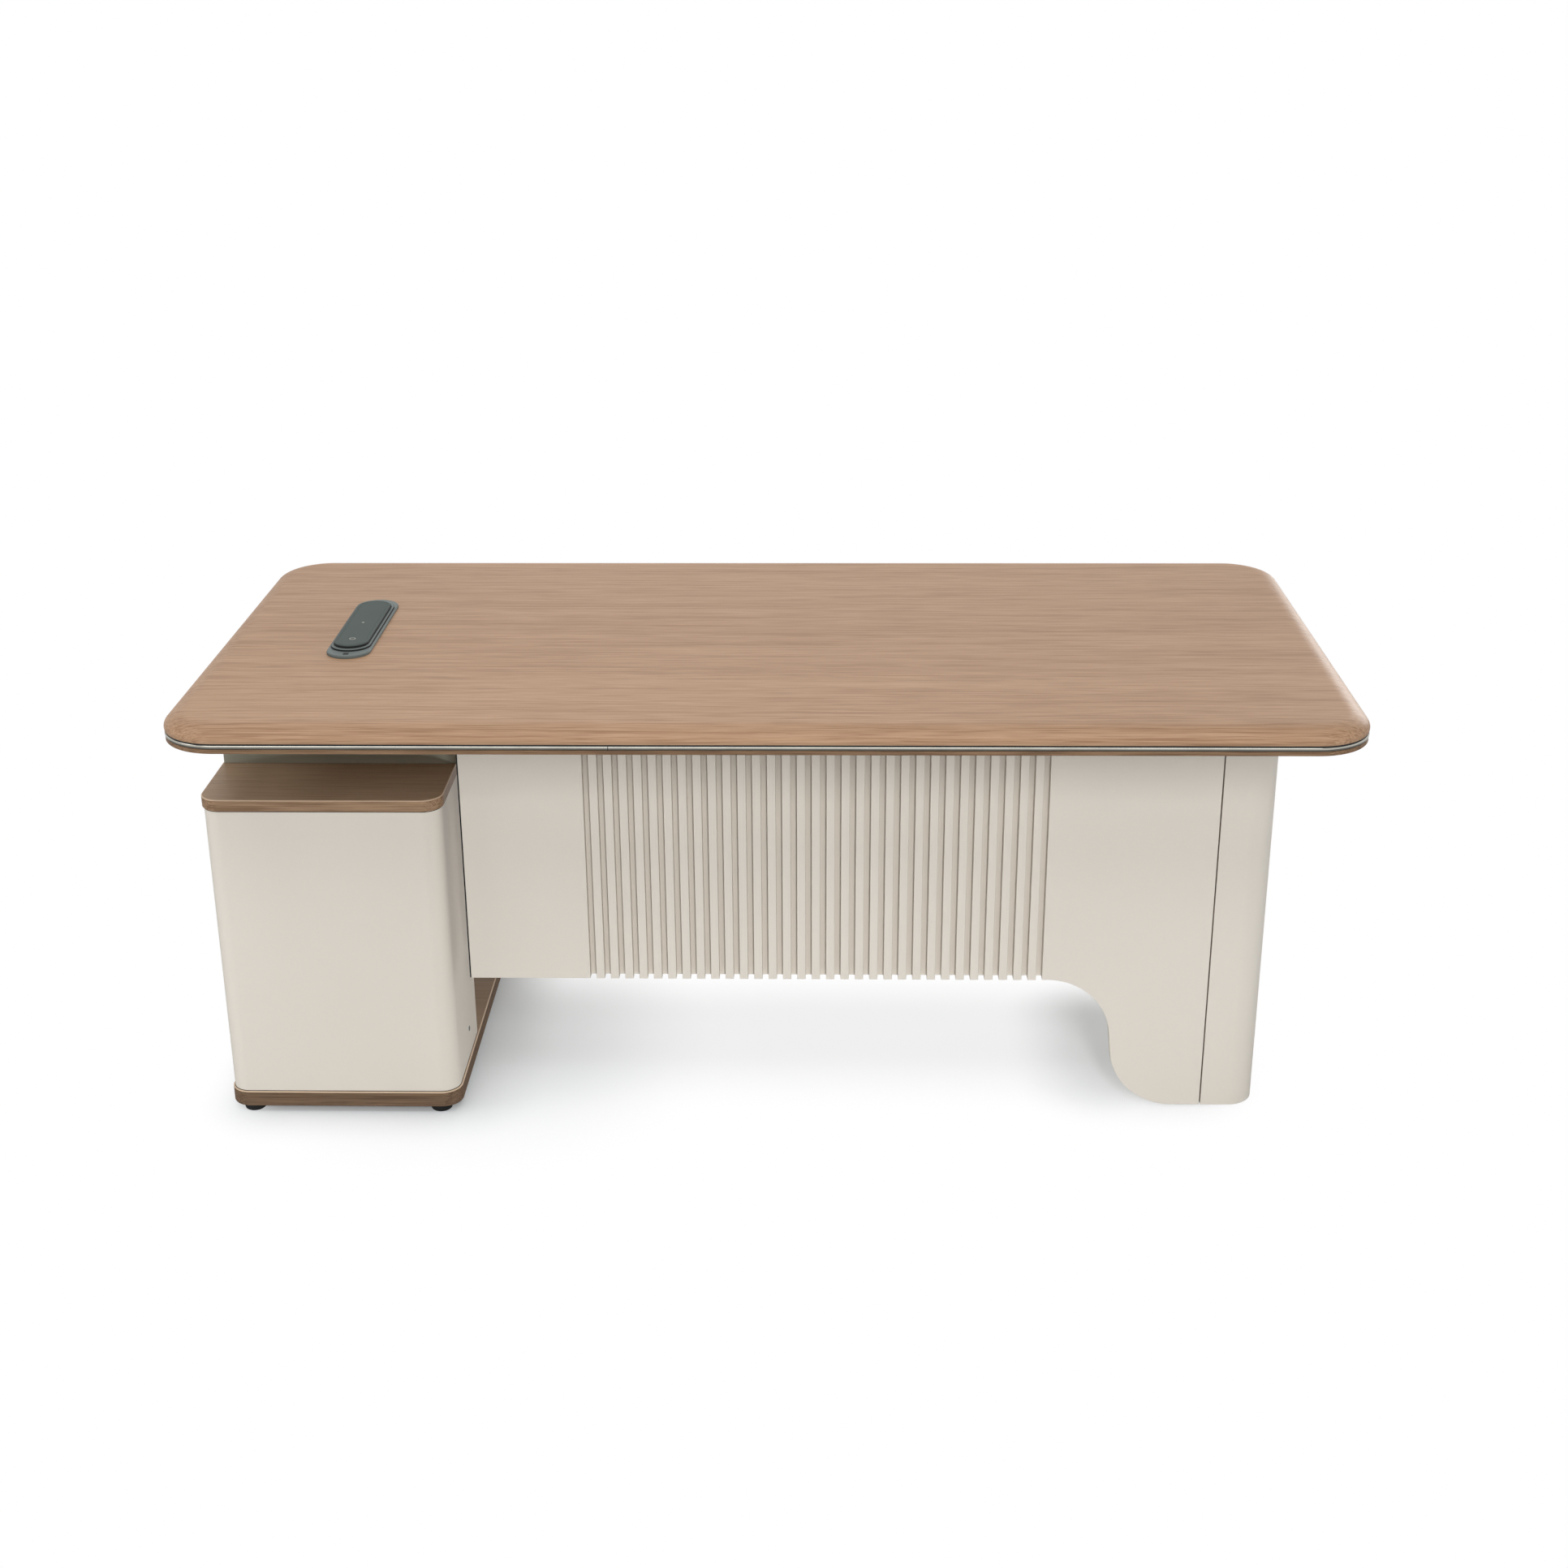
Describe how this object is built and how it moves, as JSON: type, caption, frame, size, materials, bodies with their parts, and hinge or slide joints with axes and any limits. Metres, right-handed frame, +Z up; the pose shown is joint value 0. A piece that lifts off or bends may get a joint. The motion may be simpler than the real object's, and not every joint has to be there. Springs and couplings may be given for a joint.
{
  "type": "executive desk",
  "caption": "Executive desk with a rolled-edge walnut desktop, fluted cream modesty panel, curved box leg, drawer pedestal and lift-up power unit.",
  "frame": {"origin": "on the floor under the middle of the desktop", "axes": "+X to the visitor's right along the desktop, +Y from the visitors' side to the user's side, +Z up"},
  "size_m": [1.8, 0.9, 0.7623],
  "materials": {
    "desktop_walnut": "satin veneer, grain along the length",
    "pedestal_walnut": "satin veneer",
    "cream_board": "matt cream laminate",
    "trim_metal": "satin anodised",
    "steel": "zinc plated",
    "tray_grey": "fine powder coat",
    "power_grey": "matt",
    "power_pad": "soft matt",
    "socket_black": "fine texture",
    "black_plastic": "matt"
  },
  "bodies": {
    "frame": {"desktop_upper": "desktop_walnut", "desktop_lower": "desktop_walnut", "cabinet_base": "pedestal_walnut", "cabinet_top": "pedestal_walnut", "cabinet_deck": "pedestal_walnut", "cabinet_divider": "pedestal_walnut", "riser_left": "cream_board", "leg_inner_board": "cream_board", "cabinet_side_left": "cream_board", "cabinet_post": "cream_board", "trunk_bottom": "cream_board", "leg_batten": "cream_board", "leg_head": "cream_board", "leg_front_panel": "cream_board", "leg_shell": "cream_board", "cabinet_front_shell": "cream_board", "fluted_slats": "cream_board", "spine_board": "cream_board", "cabinet_side_right": "cream_board", "panel_left": "cream_board", "riser_front": "cream_board", "trunk_ribs": "cream_board", "trunk_end": "cream_board", "panel_carrier": "cream_board", "leg_base": "cream_board", "edge_trim": "trim_metal", "stiffener_rail": "steel", "angle_brackets": "steel", "riser_support": "steel", "power_bezel": "power_grey", "power_housing": "power_grey", "power_inlet": "black_plastic", "leg_glides": "black_plastic", "cabinet_feet": "black_plastic", "runner_rails": "steel"},
    "power_tower": {"power_tower": "power_grey", "power_sockets": "socket_black", "power_pad": "power_pad"},
    "drawer_1": {"drawer_1_front": "cream_board", "drawer_1_tray": "tray_grey", "drawer_1_pull": "trim_metal", "drawer_1_slide": "steel"},
    "runner_1": {"runner_1_middle": "steel"},
    "drawer_2": {"drawer_2_front": "cream_board", "drawer_2_tray": "tray_grey", "drawer_2_pull": "trim_metal", "drawer_2_slide": "steel"},
    "runner_2": {"runner_2_middle": "steel"},
    "drawer_3": {"drawer_3_front": "cream_board", "drawer_3_tray": "tray_grey", "drawer_3_pull": "trim_metal", "drawer_3_slide": "steel"},
    "runner_3": {"runner_3_middle": "steel"}
  },
  "joints": [
    {"name": "power_lift", "type": "slide", "parent": "frame", "child": "power_tower", "axis": [0, 0, 1], "range_m": [0, 0.095]},
    {"name": "drawer_1_slide", "type": "slide", "parent": "frame", "child": "drawer_1", "axis": [0, 1, 0], "range_m": [0, 0.33]},
    {"name": "runner_1_slide", "type": "slide", "parent": "frame", "child": "runner_1", "axis": [0, 1, 0], "range_m": [0, 0.165]},
    {"name": "drawer_2_slide", "type": "slide", "parent": "frame", "child": "drawer_2", "axis": [0, 1, 0], "range_m": [0, 0.33]},
    {"name": "runner_2_slide", "type": "slide", "parent": "frame", "child": "runner_2", "axis": [0, 1, 0], "range_m": [0, 0.165]},
    {"name": "drawer_3_slide", "type": "slide", "parent": "frame", "child": "drawer_3", "axis": [0, 1, 0], "range_m": [0, 0.33]},
    {"name": "runner_3_slide", "type": "slide", "parent": "frame", "child": "runner_3", "axis": [0, 1, 0], "range_m": [0, 0.165]}
  ],
  "couplings": [
    {"joint": "runner_1_slide", "follows": "drawer_1_slide", "ratio": 0.5},
    {"joint": "runner_2_slide", "follows": "drawer_2_slide", "ratio": 0.5},
    {"joint": "runner_3_slide", "follows": "drawer_3_slide", "ratio": 0.5}
  ]
}
